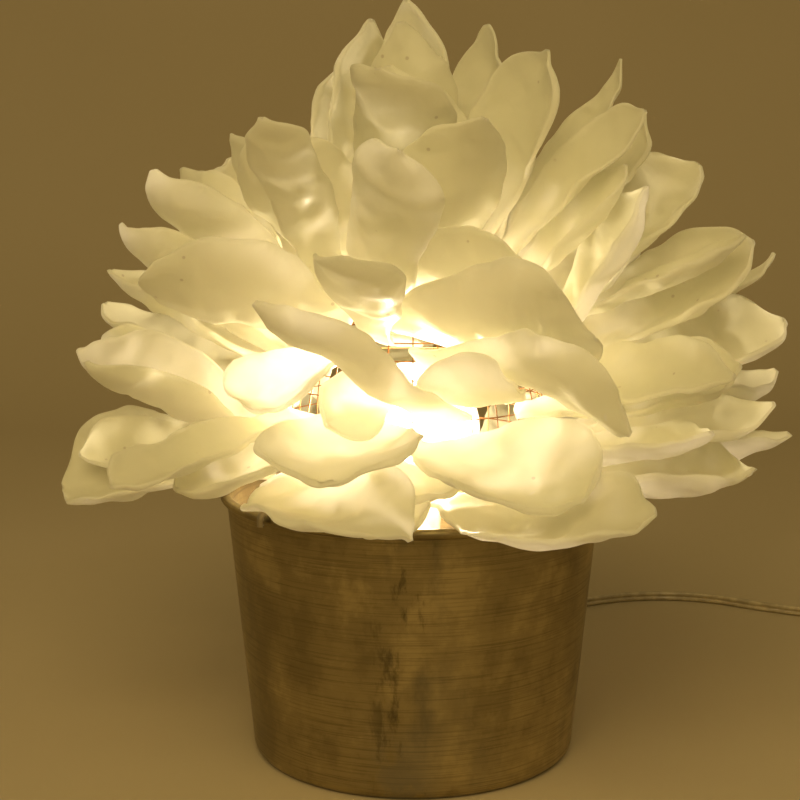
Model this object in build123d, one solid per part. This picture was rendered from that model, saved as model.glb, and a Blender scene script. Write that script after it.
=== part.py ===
from build123d import *
import os
from dataclasses import dataclass, replace
from math import atan2, cos, degrees, hypot, pi, radians, sin, sqrt, tan

import numpy as np
from scipy.interpolate import PchipInterpolator
from scipy.spatial import cKDTree

# A flower lamp: a spun metal pot, a bulb on a lampholder inside it, and a shade of frosted
# petals bonded to an egg-shaped wire-mesh dome whose wire arms hook over the pot's rim.
# All sizes are in millimetres and all angles in degrees. The origin is the centre of the
# pot's flat bottom, +Z is up, and -Y is the front. A turn is an angle round the lamp, 0 at
# the front and growing towards +X.

# Fits
SEAT_GAP = 0.3             # a piece and the seat that carries it
TURN_GAP = 0.35            # a piece that turns and its housing
THREAD_GAP = 0.15          # a thread or shank and its hole
FACE_GAP = 0.05            # flat faces bolted together

# Pot
POT_HEIGHT = 120.0         # floor to the top of the rolled rim
POT_RIM_RADIUS = 86.5      # outside of the rolled rim
POT_FOOT_RADIUS = 72.5     # outside of the wall, carried down to the floor
POT_WALL = 1.6
POT_FLOOR = 1.6
RIM_ROLL = 4.6             # diameter of the rolled rim
RIM_ROLL_LAP = 0.3         # how far the roll stands inside the wall
POT_CORNER = 5.0           # outside radius where the wall meets the floor

# Ballast and lamp pipe
BALLAST_RADIUS = 58.0
BALLAST_THICKNESS = 10.0
BALLAST_EDGE = 1.5
NUT_POCKET_RADIUS = 11.0
NUT_POCKET_DEPTH = 5.0
PIPE_RADIUS = 4.9
PIPE_BORE = 3.4
PIPE_RISE = 6.5            # into the lampholder's cap
PIPE_NUT_RADIUS = 8.6      # over the corners
PIPE_NUT_HEIGHT = 4.2

# Lampholder
CAP_BOTTOM = 47.5          # underside of the lampholder's cap
CAP_RADIUS = 18.0
CAP_HEIGHT = 14.0
CAP_WALL = 1.2
CAP_FLOOR = 2.0
CAP_CORNER = 4.0
OUTLET_RADIUS = 4.6        # side outlet of the cap, where the lead goes in
OUTLET_REACH = 4.0
HOLDER_DEPTH = 28.0        # mouth of the lampholder above its core
HOLDER_WALL = 0.8
LINER_WALL = 0.7
CORE_RISE = 7.5            # porcelain core above the cap's underside
CORE_HEIGHT = 11.0
TERMINAL_HEAD_RADIUS = 2.6
TERMINAL_HEAD_DEPTH = 1.4
TERMINAL_SHANK_RADIUS = 1.4
TERMINAL_SHANK_LENGTH = 5.0
CONTACT_RADIUS = 4.0       # sprung centre contact
CONTACT_THICKNESS = 1.2
SCREW_SHELL_WALL = 0.5
SCREW_SHELL_FLOOR_HOLE = 7.5
SCREW_SHELL_INSET = 3.0    # below the lampholder's mouth

# Bulb
BULB_GLOBE_RADIUS = 30.0
BULB_GLASS = 0.8
BULB_NECK_RADIUS = 12.6
BULB_NECK_LENGTH = 7.9     # straight neck above the cap
BULB_NECK_FILLET = 32.0
BULB_CAP_RADIUS = 13.0
BULB_CAP_STAND = 1.0       # top of the cap above the lampholder's mouth
BULB_INSULATOR = 4.85      # height of the glass between the cap and the end contact
BULB_CAP_WALL = 0.4
BULB_RIDGE = 0.7           # height of the rolled ridges of the cap
BULB_RIDGE_PITCH = 3.6
BULB_TIP_RADIUS = 5.2      # end contact
BULB_TIP_HEIGHT = 1.6
BULB_STEM_RADIUS = 4.0
BULB_STEM_FLARE = 10.5
BULB_STEM_DROP = 22.0      # top of the stem below the globe's centre
FILAMENT_RADIUS = 11.0
FILAMENT_WIRE = 1.2
SUPPORT_WIRE = 0.9

# Wire frame of the shade
ARM_COUNT = 4
ARM_FIRST_TURN = 45.0
ARM_WIRE = 3.0
ARM_INNER = 56.0           # inner end of an arm
ARM_HOOK_GAP = 1.0         # between the rolled rim and the hook
ARM_HOOK_DROP = 6.0
ARM_BEND = 3.0
RING_WIRE = 4.0
DOME_RADIUS = 62.0
DOME_CROWN = 78.0          # widest level to the top
DOME_SKIRT = 14.0          # bottom edge to the widest level
DOME_MESH = 1.2

# Petals
PETAL_LENGTH = 104.0
PETAL_WIDTH = 56.0
PETAL_THICKNESS = 2.4
PETAL_TIP_THICKNESS = 1.5
PETAL_NECK_WIDTH = 13.0
PETAL_NECK_LENGTH = 10.0
PETAL_CUP = 50.0           # half angle of the cupped section at its deepest
PETAL_CURL = 16.0          # how far the petal bends up along its length
PETAL_HOOK = 30.0          # extra bend near the tip
PETAL_CLEARANCE = 0.3      # least room between two petals
PETAL_SEAT = 0.4           # petal to the mesh that it is bonded to

# Mains lead, a flat twin cord
CORD_WIDTH = 5.6
EXIT_TURN = 165.0          # where the lead leaves the pot
EXIT_HEIGHT = 16.0
RELIEF_NECK_RADIUS = 5.5
RELIEF_FLANGE_RADIUS = 8.0
RELIEF_FLANGE = 2.0
RELIEF_LENGTH = 28.0
RELIEF_TIP_RADIUS = 4.0
RELIEF_BASE_RADIUS = 6.2
RELIEF_GROOVE_ROOM = 0.6   # room for the wall's curve in the relief's groove

# Switch on the lead
SWITCH_X = 290.0
SWITCH_ENTRY_Y = 124.0
SWITCH_LENGTH = 62.0
SWITCH_WIDTH = 24.0
SWITCH_TOP = 15.0
SWITCH_CORNER = 8.0
SWITCH_EDGE = 1.6
WHEEL_RADIUS = 11.0
WHEEL_OFFSET = 5.0         # wheel's axis towards the side it stands out of
WHEEL_THICKNESS = 4.6
WHEEL_PIN_RADIUS = 2.2
WHEEL_GRIPS = 20
WHEEL_GRIP_RADIUS = 0.8
SWITCH_SCREW_SPACING = 46.0
SCREW_HEAD_RADIUS = 2.6
SCREW_HEAD_DEPTH = 1.6
SCREW_SHANK_RADIUS = 1.4
SCREW_LENGTH = 12.5

# Coil, tie and plug
COIL_START_Y = 24.0
COIL_INNER_TURN = 27.0     # radius of the smallest half turn of the lower layer
COIL_PITCH = 6.4           # from one turn to the next
COIL_RISE = 6.2            # from one layer to the next
COIL_HALF_TURNS = 6        # half turns in the lower layer
COIL_TAIL = 20.0           # straight end that goes into the plug
TIE_STRAP = 1.0
TIE_WIDTH = 8.0
TIE_ROOM = 1.0             # for the turns' curve inside the tie
PLUG_TAIL = 24.0
PLUG_TAIL_RADIUS = 4.4
PLUG_TAIL_BASE_RADIUS = 7.0
PLUG_LENGTH = 32.0
PLUG_WIDTH = 25.0
PLUG_EDGE = 3.0
BLADE_SPACING = 12.7
BLADE_WIDTH = 6.3
BLADE_THICKNESS = 1.5
BLADE_LENGTH = 17.0
BLADE_ROOT = 6.0           # length held inside the plug

# Heights and radii that follow from the sizes above
WALL_TOP = POT_HEIGHT - RIM_ROLL / 2
WALL_TOP_RADIUS = POT_RIM_RADIUS - RIM_ROLL + RIM_ROLL_LAP + POT_WALL
WALL_LEAN = degrees(atan2(WALL_TOP_RADIUS - POT_FOOT_RADIUS, WALL_TOP))
BALLAST_BOTTOM = POT_FLOOR + FACE_GAP
BALLAST_TOP = BALLAST_BOTTOM + BALLAST_THICKNESS
HOLDER_RADIUS = CAP_RADIUS - CAP_WALL - SEAT_GAP
LINER_RADIUS = HOLDER_RADIUS - HOLDER_WALL - THREAD_GAP
CORE_RADIUS = LINER_RADIUS - LINER_WALL - THREAD_GAP
SCREW_SHELL_RADIUS = BULB_CAP_RADIUS + TURN_GAP
PIPE_TOP = CAP_BOTTOM + PIPE_RISE
CORE_BOTTOM = CAP_BOTTOM + CORE_RISE
CORE_TOP = CORE_BOTTOM + CORE_HEIGHT
HOLDER_TOP = CORE_TOP + HOLDER_DEPTH
SCREW_SHELL_TOP = HOLDER_TOP - SCREW_SHELL_INSET
CONTACT_TOP = CORE_TOP + FACE_GAP + CONTACT_THICKNESS
BULB_TIP_BOTTOM = CONTACT_TOP + SEAT_GAP
BULB_CAP_BOTTOM = BULB_TIP_BOTTOM + BULB_TIP_HEIGHT + BULB_INSULATOR
BULB_CAP_TOP = HOLDER_TOP + BULB_CAP_STAND
NECK_FILLET_X = BULB_NECK_RADIUS + BULB_NECK_FILLET
NECK_FILLET_HEIGHT = BULB_CAP_TOP + BULB_NECK_LENGTH
BULB_GLOBE_RISE = sqrt((BULB_GLOBE_RADIUS + BULB_NECK_FILLET) ** 2 - NECK_FILLET_X**2)
BULB_GLOBE_HEIGHT = NECK_FILLET_HEIGHT + BULB_GLOBE_RISE
BULB_STEM_TOP = BULB_GLOBE_HEIGHT - BULB_STEM_DROP
FILAMENT_HEIGHT = BULB_GLOBE_HEIGHT
ARM_HEIGHT = POT_HEIGHT + SEAT_GAP + ARM_WIRE / 2
RING_HEIGHT = ARM_HEIGHT + ARM_WIRE / 2 + SEAT_GAP + RING_WIRE / 2
DOME_BOTTOM = RING_HEIGHT + RING_WIRE / 2 + SEAT_GAP
DOME_CENTRE = DOME_BOTTOM + DOME_SKIRT
DOME_BOTTOM_RADIUS = DOME_RADIUS * sqrt(1 - (DOME_SKIRT / DOME_CROWN) ** 2)
RING_RADIUS = DOME_BOTTOM_RADIUS - DOME_MESH / 2
CORD_RADIUS = CORD_WIDTH / 2
COIL_HEIGHT = TIE_STRAP + SEAT_GAP + CORD_RADIUS
COIL_TOP_HEIGHT = COIL_HEIGHT + COIL_RISE
SWITCH_EXIT_Y = SWITCH_ENTRY_Y - SWITCH_LENGTH
SWITCH_MID_Y = SWITCH_ENTRY_Y - SWITCH_LENGTH / 2
PLUG_AXIS_Y = COIL_START_Y - COIL_TAIL


def heading(turn):
    """Level unit direction at an angle round the lamp."""
    return Vector(sin(radians(turn)), -cos(radians(turn)), 0)


def spun(sketch):
    """Turn a half section, drawn as radius and height, round the lamp's axis."""
    return revolve(Plane.XZ * sketch, Axis.Z)


def outline(*points):
    return make_face(Polyline(*points, close=True))


def disc(radius, bottom, top, bore=0.0):
    """A round plate or, with a bore, a ring or tube, on the lamp's axis."""
    base = (Align.CENTER, Align.CENTER, Align.MIN)
    body = Pos(0, 0, bottom) * Cylinder(radius, top - bottom, align=base)
    if bore:
        body -= Pos(0, 0, bottom) * Cylinder(bore, top - bottom, align=base)
    return body


def hex_nut(bottom):
    nut = Pos(0, 0, bottom) * extrude(RegularPolygon(PIPE_NUT_RADIUS, 6), PIPE_NUT_HEIGHT)
    return nut - disc(PIPE_RADIUS + THREAD_GAP, bottom, bottom + PIPE_NUT_HEIGHT)


def corner_radii(points):
    """Radius of each corner of a cord's route: as large as its two runs allow."""
    radii = []
    for before, here, after in zip(points, points[1:], points[2:]):
        run_in, run_out = here - before, after - here
        half_turn = radians(run_in.get_angle(run_out)) / 2
        radii.append(0.45 * min(run_in.length, run_out.length) / tan(half_turn))
    return radii


def tube(path, radius):
    start = path @ 0
    section = Plane(origin=start, z_dir=path % 0) * Circle(radius)
    return sweep(section, path=path)


# Pot


def exit_frame():
    """Where the lead leaves the pot: a point on the wall's outside and the way out."""
    radius = POT_FOOT_RADIUS + (WALL_TOP_RADIUS - POT_FOOT_RADIUS) * EXIT_HEIGHT / WALL_TOP
    level = heading(EXIT_TURN)
    out = level * cos(radians(WALL_LEAN)) - Vector(0, 0, 1) * sin(radians(WALL_LEAN))
    return level * radius + Vector(0, 0, EXIT_HEIGHT), out


def along(point, out, distance):
    """A plane across the lead's exit, at a distance outside the wall."""
    return Plane(origin=point + out * distance, z_dir=out)


def pot():
    inner_foot = POT_FOOT_RADIUS - POT_WALL / cos(radians(WALL_LEAN))
    inner_top = WALL_TOP_RADIUS - POT_WALL / cos(radians(WALL_LEAN))
    slope = (inner_top - inner_foot) / WALL_TOP
    section = outline(
        (0, 0),
        (POT_FOOT_RADIUS, 0),
        (WALL_TOP_RADIUS, WALL_TOP),
        (inner_top, WALL_TOP),
        (inner_foot + slope * POT_FLOOR, POT_FLOOR),
        (0, POT_FLOOR),
    )
    by_radius = section.vertices().sort_by(Axis.X)
    section = fillet([v for v in by_radius if v.Y == 0 and v.X > 0], POT_CORNER)
    inside = [v for v in section.vertices() if abs(v.Y - POT_FLOOR) < FACE_GAP and v.X > 0]
    section = fillet(inside, POT_CORNER - POT_WALL)
    section += Pos(POT_RIM_RADIUS - RIM_ROLL / 2, WALL_TOP) * Circle(RIM_ROLL / 2)
    point, out = exit_frame()
    hole = along(point, out, 0) * Cylinder(RELIEF_NECK_RADIUS + THREAD_GAP, 6 * POT_WALL)
    return spun(section) - hole


def cord_relief():
    """Moulded bushing: a flange each side of the wall and a taper that carries the lead."""
    point, out = exit_frame()
    groove = POT_WALL + 2 * RELIEF_GROOVE_ROOM
    outside = RELIEF_GROOVE_ROOM
    neck = along(point, out, outside - groove / 2) * Cylinder(RELIEF_NECK_RADIUS, groove)
    outer = along(point, out, outside + RELIEF_FLANGE / 2)
    inner = along(point, out, outside - groove - RELIEF_FLANGE / 2)
    body = neck + outer * Cylinder(RELIEF_FLANGE_RADIUS, RELIEF_FLANGE)
    body += inner * Cylinder(RELIEF_FLANGE_RADIUS, RELIEF_FLANGE)
    taper = along(point, out, outside + RELIEF_FLANGE + RELIEF_LENGTH / 2)
    return body + taper * Cone(RELIEF_BASE_RADIUS, RELIEF_TIP_RADIUS, RELIEF_LENGTH)


def relief_ends():
    """Centres of the relief's outer and inner end faces."""
    point, out = exit_frame()
    outer = point + out * (RELIEF_GROOVE_ROOM + RELIEF_FLANGE + RELIEF_LENGTH)
    inner = point - out * (POT_WALL + RELIEF_GROOVE_ROOM + RELIEF_FLANGE)
    return outer, inner, out


# Ballast, pipe and lampholder


def ballast():
    body = disc(BALLAST_RADIUS, BALLAST_BOTTOM, BALLAST_TOP, PIPE_RADIUS + THREAD_GAP)
    body = chamfer(body.edges().filter_by(GeomType.CIRCLE).group_by(SortBy.RADIUS)[-1], BALLAST_EDGE)
    return body - disc(NUT_POCKET_RADIUS, BALLAST_BOTTOM, BALLAST_BOTTOM + NUT_POCKET_DEPTH)


def lower_nut():
    return hex_nut(BALLAST_BOTTOM + NUT_POCKET_DEPTH - FACE_GAP - PIPE_NUT_HEIGHT)


def upper_nut():
    return hex_nut(BALLAST_TOP + FACE_GAP)


def cap_nut():
    return hex_nut(CAP_BOTTOM - FACE_GAP - PIPE_NUT_HEIGHT)


def lamp_pipe():
    bottom = BALLAST_BOTTOM + NUT_POCKET_DEPTH - FACE_GAP - PIPE_NUT_HEIGHT
    return disc(PIPE_RADIUS, bottom, PIPE_TOP, PIPE_BORE)


def holder_cap():
    """Cup that the pipe screws into, with a side outlet for the lead."""
    top = CAP_BOTTOM + CAP_HEIGHT
    body = disc(CAP_RADIUS, CAP_BOTTOM, top)
    body = fillet(body.edges().filter_by(GeomType.CIRCLE).group_by(Axis.Z)[0], CAP_CORNER)
    outlet = Plane(origin=outlet_face(), z_dir=-heading(EXIT_TURN))
    boss_length = OUTLET_REACH + CAP_WALL
    body += outlet * Cylinder(
        OUTLET_RADIUS, boss_length, align=(Align.CENTER, Align.CENTER, Align.MIN)
    )
    body -= disc(CAP_RADIUS - CAP_WALL, CAP_BOTTOM + CAP_FLOOR, top)
    return body - disc(PIPE_RADIUS + THREAD_GAP, CAP_BOTTOM, top)


def outlet_face():
    """Centre of the side outlet's end face, where the inner lead meets it."""
    height = CAP_BOTTOM + CAP_CORNER + OUTLET_RADIUS
    return heading(EXIT_TURN) * (CAP_RADIUS + OUTLET_REACH) + Vector(0, 0, height)


def holder_shell():
    bottom = CORE_BOTTOM - FACE_GAP
    return disc(HOLDER_RADIUS, bottom, HOLDER_TOP, HOLDER_RADIUS - HOLDER_WALL)


def holder_liner():
    bottom = CORE_BOTTOM - FACE_GAP
    return disc(LINER_RADIUS, bottom, HOLDER_TOP, LINER_RADIUS - LINER_WALL)


def terminal_place(side):
    """Outer end of a terminal screw, on one side of the core."""
    return Pos(side * CORE_RADIUS, 0, (CORE_BOTTOM + CORE_TOP) / 2) * Rot(0, side * 90, 0)


def terminal_screw(side, room=0.0):
    """Screw set into the core's side. With room, the hole that it goes in."""
    top = (Align.CENTER, Align.CENTER, Align.MAX)
    sink = Pos(0, 0, -THREAD_GAP) if not room else Pos(0, 0, 0)
    head_depth = TERMINAL_HEAD_DEPTH + (2 * room if room else 0)
    head = Cylinder(TERMINAL_HEAD_RADIUS + room, head_depth, align=top)
    shank = Cylinder(
        TERMINAL_SHANK_RADIUS + room, TERMINAL_HEAD_DEPTH + TERMINAL_SHANK_LENGTH + 2 * room, align=top
    )
    return terminal_place(side) * (sink * (head + shank))


def holder_core():
    body = disc(CORE_RADIUS, CORE_BOTTOM, CORE_TOP)
    for side in (-1, 1):
        body -= terminal_screw(side, THREAD_GAP)
    return body


def terminal_screws():
    return [terminal_screw(-1), terminal_screw(1)]


def centre_contact():
    return disc(CONTACT_RADIUS, CORE_TOP + FACE_GAP, CONTACT_TOP)


def screw_shell():
    """Thin threaded cup that takes the bulb's cap."""
    outer = SCREW_SHELL_RADIUS + SCREW_SHELL_WALL
    bottom = CORE_TOP + FACE_GAP
    floor = bottom + SCREW_SHELL_WALL
    cup = disc(outer, bottom, SCREW_SHELL_TOP, SCREW_SHELL_FLOOR_HOLE)
    return cup - disc(SCREW_SHELL_RADIUS, floor, SCREW_SHELL_TOP)


def inner_lead():
    """Lead inside the pot, from the relief up to the lampholder's side outlet."""
    _, start, out = relief_ends()
    end = outlet_face()
    level = heading(EXIT_TURN)
    reach = (start.dot(level) - end.dot(level)) * 0.4
    points = [start, start - out * reach, end + level * reach, end]
    radii = corner_radii(points)
    path = FilletPolyline(*points, radius=radii)
    print("inner lead radii", [round(r, 1) for r in radii])
    return tube(path, CORD_RADIUS)


# Bulb


def bulb_globe():
    """Thin glass globe whose neck runs into it in one smooth curve."""
    slope = atan2(BULB_GLOBE_RISE, NECK_FILLET_X)

    def edge(inset):
        globe = BULB_GLOBE_RADIUS - inset
        neck = BULB_NECK_FILLET + inset
        x = BULB_NECK_RADIUS - inset
        join = (globe * cos(slope), BULB_GLOBE_HEIGHT - globe * sin(slope))
        half = slope / 2
        mid_neck = (NECK_FILLET_X - neck * cos(half), NECK_FILLET_HEIGHT + neck * sin(half))
        top_half = (pi / 2 - slope) / 2
        mid_globe = (globe * cos(top_half), BULB_GLOBE_HEIGHT + globe * sin(top_half))
        return [
            Line((x, BULB_CAP_TOP), (x, NECK_FILLET_HEIGHT)),
            ThreePointArc((x, NECK_FILLET_HEIGHT), mid_neck, join),
            ThreePointArc(join, mid_globe, (0, BULB_GLOBE_HEIGHT + globe)),
        ]

    outer, inner = edge(0), edge(BULB_GLASS)
    foot = Line(outer[0] @ 0, inner[0] @ 0)
    top = Line(inner[-1] @ 1, outer[-1] @ 1)
    return spun(make_face([*outer, top, *inner, foot]))


def bulb_cap():
    """Screw cap with rolled ridges that turn freely in the threaded cup."""
    core = BULB_CAP_RADIUS - BULB_RIDGE
    body = disc(core, BULB_CAP_BOTTOM, BULB_CAP_TOP - FACE_GAP)
    rows = int((BULB_CAP_TOP - BULB_CAP_BOTTOM - BULB_RIDGE_PITCH) / BULB_RIDGE_PITCH)
    for row in range(rows):
        height = BULB_CAP_BOTTOM + BULB_RIDGE_PITCH * (row + 0.75)
        body += Pos(0, 0, height) * Torus(core - BULB_RIDGE, 2 * BULB_RIDGE)
    hollow = core - BULB_RIDGE - BULB_CAP_WALL
    return body - disc(hollow, BULB_CAP_BOTTOM, BULB_CAP_TOP)


def bulb_insulator():
    bottom = BULB_TIP_BOTTOM + BULB_TIP_HEIGHT
    top = BULB_CAP_BOTTOM - FACE_GAP
    return Pos(0, 0, (bottom + top) / 2) * Cone(
        BULB_TIP_RADIUS, BULB_CAP_RADIUS - 2 * BULB_RIDGE, top - bottom - FACE_GAP
    )


def bulb_tip():
    body = disc(BULB_TIP_RADIUS, BULB_TIP_BOTTOM, BULB_TIP_BOTTOM + BULB_TIP_HEIGHT - FACE_GAP)
    lower = body.edges().filter_by(GeomType.CIRCLE).group_by(Axis.Z)[0]
    return fillet(lower, BULB_TIP_HEIGHT / 2)


def bulb_stem():
    """Flared glass mount inside the neck."""
    flare = BULB_CAP_TOP + BULB_STEM_FLARE
    section = outline(
        (0, BULB_CAP_TOP + FACE_GAP),
        (BULB_NECK_RADIUS - BULB_GLASS - SEAT_GAP, BULB_CAP_TOP + FACE_GAP),
        (BULB_STEM_RADIUS, flare),
        (BULB_STEM_RADIUS, BULB_STEM_TOP),
        (0, BULB_STEM_TOP),
    )
    return spun(section)


def support_ends():
    """Feet and heads of the two wires that hold the filament."""
    foot = BULB_STEM_RADIUS - SUPPORT_WIRE
    head = FILAMENT_RADIUS
    return [(side * foot, side * head) for side in (-1, 1)]


def bulb_supports():
    wires = []
    for foot, head in support_ends():
        path = Line(
            (foot, 0, BULB_STEM_TOP + SEAT_GAP), (head, 0, FILAMENT_HEIGHT - SEAT_GAP - SUPPORT_WIRE / 4)
        )
        wires.append(tube(path, SUPPORT_WIRE / 2))
    return wires


def bulb_filament():
    """Arched filament between the two supports."""
    path = ThreePointArc(
        (-FILAMENT_RADIUS, 0, FILAMENT_HEIGHT),
        (0, 0, FILAMENT_HEIGHT + FILAMENT_RADIUS),
        (FILAMENT_RADIUS, 0, FILAMENT_HEIGHT),
    )
    return tube(path, FILAMENT_WIRE / 2)


# Wire frame of the shade


def arm_points(turn):
    """Corners of one rim arm: out under the ring, over the rim and down."""
    out = heading(turn)
    hook = POT_RIM_RADIUS + ARM_HOOK_GAP + ARM_WIRE / 2
    level = Vector(0, 0, ARM_HEIGHT)
    drop = Vector(0, 0, ARM_HEIGHT - ARM_HOOK_DROP)
    return [out * ARM_INNER + level, out * hook + level, out * hook + drop]


def arm_turns():
    return [ARM_FIRST_TURN + 360 * i / ARM_COUNT for i in range(ARM_COUNT)]


def rim_arms():
    return [
        tube(FilletPolyline(*arm_points(turn), radius=ARM_BEND), ARM_WIRE / 2)
        for turn in arm_turns()
    ]


def base_ring():
    return Pos(0, 0, RING_HEIGHT) * Torus(RING_RADIUS, RING_WIRE / 2)


def mesh_dome():
    """Egg-shaped cap of woven wire, as one thin shell, open at the bottom."""
    wall = Ellipse(DOME_RADIUS, DOME_CROWN) - Ellipse(DOME_RADIUS - DOME_MESH, DOME_CROWN - DOME_MESH)
    kept = Pos(0, -DOME_SKIRT) * Rectangle(
        DOME_RADIUS, DOME_SKIRT + DOME_CROWN, align=(Align.MIN, Align.MIN)
    )
    return spun(Pos(0, DOME_CENTRE) * (wall & kept))


# Petals. Each grows from a place on the dome, its turn and rise, and points along its aim,
# a turn, at its lift above the level. It is a thin cupped leaf: flat at its neck, deepest
# past the middle, curled up along its length and hooked at its tip.

# Shares of the length at which a petal's section is set out, the half width there of a
# pointed and of a blunt petal past the neck, and the depth of the cup
STATIONS = (0.0, 0.10, 0.24, 0.40, 0.56, 0.70, 0.82, 0.91, 0.97, 1.0)
POINTED = (0.58, 0.88, 1.0, 0.95, 0.76, 0.47, 0.20, 0.06)
BLUNT = (0.54, 0.80, 0.95, 1.0, 0.94, 0.72, 0.30, 0.06)
CUPPING = (0.14, 0.18, 0.50, 0.80, 1.0, 1.0, 0.92, 0.80, 0.66, 0.60)
THIN_FROM = 0.8            # share of the length where the petal starts to thin
HOOK_FROM = 0.78           # and where its tip starts to hook
EDGE_ROUND = 0.4           # bulge of a petal's rounded edge, as a share of its thickness


@dataclass
class Petal:
    group: str
    turn: float
    rise: float
    aim: float
    lift: float
    long: float = 1.0      # length as a share of the usual petal's
    wide: float = 1.0      # width as a share of the usual petal's
    roll: float = 0.0      # turn about its own length
    cup: float = PETAL_CUP
    curl: float = PETAL_CURL
    hook: float = PETAL_HOOK
    bow: float = 0.0       # sideways bend along its length
    blunt: bool = False

    def length(self):
        return self.long * PETAL_LENGTH

    def sections(self):
        """Half width, half angle of the cup and thickness at each station."""
        half = self.wide * PETAL_WIDTH / 2
        neck = PETAL_NECK_WIDTH / 2
        widths = [neck, neck] + [half * share for share in (BLUNT if self.blunt else POINTED)]
        cups = [radians(self.cup) * share for share in CUPPING]
        thinning = (PETAL_THICKNESS - PETAL_TIP_THICKNESS) / (1 - THIN_FROM)
        thick = [PETAL_THICKNESS - thinning * max(0, s - THIN_FROM) for s in STATIONS]
        return widths, cups, thick

    def axes(self, lift):
        """Unit vectors along the petal, across it and out of its hollow side, at the root."""
        slope, roll = radians(lift), radians(self.roll)
        level = np.array(tuple(heading(self.aim)))
        forward = level * cos(slope) + np.array([0, 0, sin(slope)])
        across = np.array([-level[1], level[0], 0])
        up = np.cross(forward, across)
        turned = across * cos(roll) + up * sin(roll)
        return np.array([forward, turned, np.cross(forward, turned)])

    def bends(self, shares):
        """How far the midrib has bent up and sideways, in radians, at shares of the length."""
        start = PETAL_NECK_LENGTH / self.length()
        free = np.clip((shares - start) / (1 - start), 0, None)
        tip = np.clip((shares - HOOK_FROM) / (1 - HOOK_FROM), 0, 1) ** 1.5
        return radians(self.curl) * free + radians(self.hook) * tip, radians(self.bow) * free

    def midrib(self, shares, steps=120):
        """Points of the midrib, and its directions along, across and up, from the root."""
        up, side = self.bends((np.arange(steps) + 0.5) / steps)
        runs = np.stack([np.cos(up) * np.cos(side), np.cos(up) * np.sin(side), np.sin(up)], 1)
        ends = np.vstack([np.zeros(3), np.cumsum(runs, 0) * self.length() / steps])
        at = np.linspace(0, 1, steps + 1)
        points = np.stack([np.interp(shares, at, ends[:, k]) for k in range(3)], 1)
        up, side = self.bends(shares)
        along_rib = np.stack([np.cos(up) * np.cos(side), np.cos(up) * np.sin(side), np.sin(up)], 1)
        across = np.stack([-np.sin(side), np.cos(side), 0 * side], 1)
        return points, along_rib, across, np.cross(along_rib, across)

    def surface(self, lift, rows=40, columns=19):
        """Points of the middle surface, and its two faces, with the root at zero."""
        shares = np.linspace(0, 1, rows)
        width, cup, thick = (PchipInterpolator(STATIONS, v)(shares) for v in self.sections())
        points, _, across, up = self.midrib(shares)
        to_edge = cup * (1 + EDGE_ROUND * thick / width)
        angle = np.linspace(-1, 1, columns)[None] * to_edge[:, None]
        radius = (width / cup)[:, None]
        out = -np.sin(angle)[..., None] * across[:, None] + np.cos(angle)[..., None] * up[:, None]
        middle = points[:, None] + (radius * np.sin(angle))[..., None] * across[:, None]
        middle = middle + (radius * (1 - np.cos(angle)))[..., None] * up[:, None]
        offset = out * thick[:, None, None] / 2
        frame = self.axes(lift)
        faces = np.concatenate([middle - offset, middle + offset]).reshape(-1, 3)
        return middle.reshape(-1, 3) @ frame, faces @ frame

    def root(self, faces):
        """Root's place, slid out along the dome's normal until the petal just clears the mesh."""
        turn, rise = radians(self.turn), radians(self.rise)
        ray = np.array([cos(rise) * sin(turn), -cos(rise) * cos(turn), sin(rise)])
        half_axes = np.array([DOME_RADIUS, DOME_RADIUS, DOME_CROWN])
        normal = ray / half_axes
        normal /= np.linalg.norm(normal)
        near, far = -PETAL_NECK_WIDTH, PETAL_LENGTH
        for _ in range(26):
            slide = (near + far) / 2
            places = (faces + ray * half_axes + slide * normal) / (half_axes + PETAL_SEAT)
            if np.linalg.norm(places, axis=1).min() < 1:
                near = slide
            else:
                far = slide
        return ray * half_axes + far * normal + np.array([0, 0, DOME_CENTRE])

    def solid(self, lift, root):
        """Loft through the stations' sections, at the petal's place on the lamp."""
        frame = self.axes(lift)
        points, along_rib, across, _ = (v @ frame for v in self.midrib(np.array(STATIONS)))
        wires = []
        for i, (width, cup, thick) in enumerate(zip(*self.sections())):
            plane = Plane(
                origin=tuple(points[i] + root), x_dir=tuple(across[i]), z_dir=tuple(along_rib[i])
            )
            wires.append(cupped_section(plane, width, cup, thick))
        return Solid.make_loft(wires)


def cupped_section(plane, width, cup, thick):
    """Bent strip with rounded edges: its middle line is an arc as long as the petal is wide."""
    radius = width / cup
    cap = EDGE_ROUND * thick

    def place(x, y):
        return plane.from_local_coords((x, y, 0))

    def on_arc(r, angle):
        return place(r * sin(angle), radius - r * cos(angle))

    def edge_tip(side):
        x = radius * sin(cup) + cap * cos(cup)
        return place(side * x, radius - radius * cos(cup) + cap * sin(cup))

    outer, inner = radius + thick / 2, radius - thick / 2
    return Wire([
        ThreePointArc(on_arc(outer, -cup), on_arc(outer, 0), on_arc(outer, cup)),
        ThreePointArc(on_arc(outer, cup), edge_tip(1), on_arc(inner, cup)),
        ThreePointArc(on_arc(inner, cup), on_arc(inner, 0), on_arc(inner, -cup)),
        ThreePointArc(on_arc(inner, -cup), edge_tip(-1), on_arc(outer, -cup)),
    ])


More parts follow.
